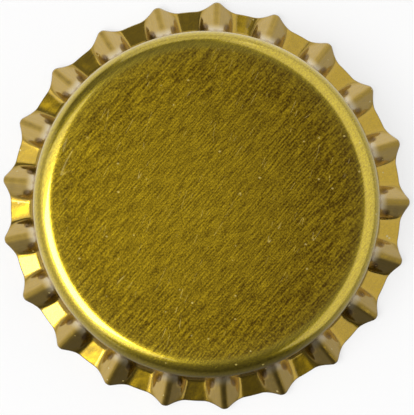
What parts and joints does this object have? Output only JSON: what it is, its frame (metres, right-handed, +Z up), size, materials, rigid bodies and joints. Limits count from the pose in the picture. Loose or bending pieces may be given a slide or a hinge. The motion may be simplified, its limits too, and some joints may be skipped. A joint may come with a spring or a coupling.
{
  "type": "bottle cap",
  "caption": "Round pressed metal bottle cap, not yet crimped: flat gold lacquered panel, rounded corner, fluted flaring skirt, and a moulded sealing liner under the panel.",
  "frame": {"origin": "on the cap's axis, in the plane that the skirt stands on", "axes": "+Z up through the flat panel along the axis, +X through the crest of one tooth"},
  "size_m": [0.032, 0.032, 0.006],
  "materials": {
    "gold_lacquered_steel": "clear gold lacquer over fine rolled tinplate",
    "liner_polymer": "soft moulded polymer, satin"
  },
  "bodies": {
    "root": {"cap_shell": "gold_lacquered_steel", "sealing_liner": "liner_polymer"}
  },
  "joints": []
}
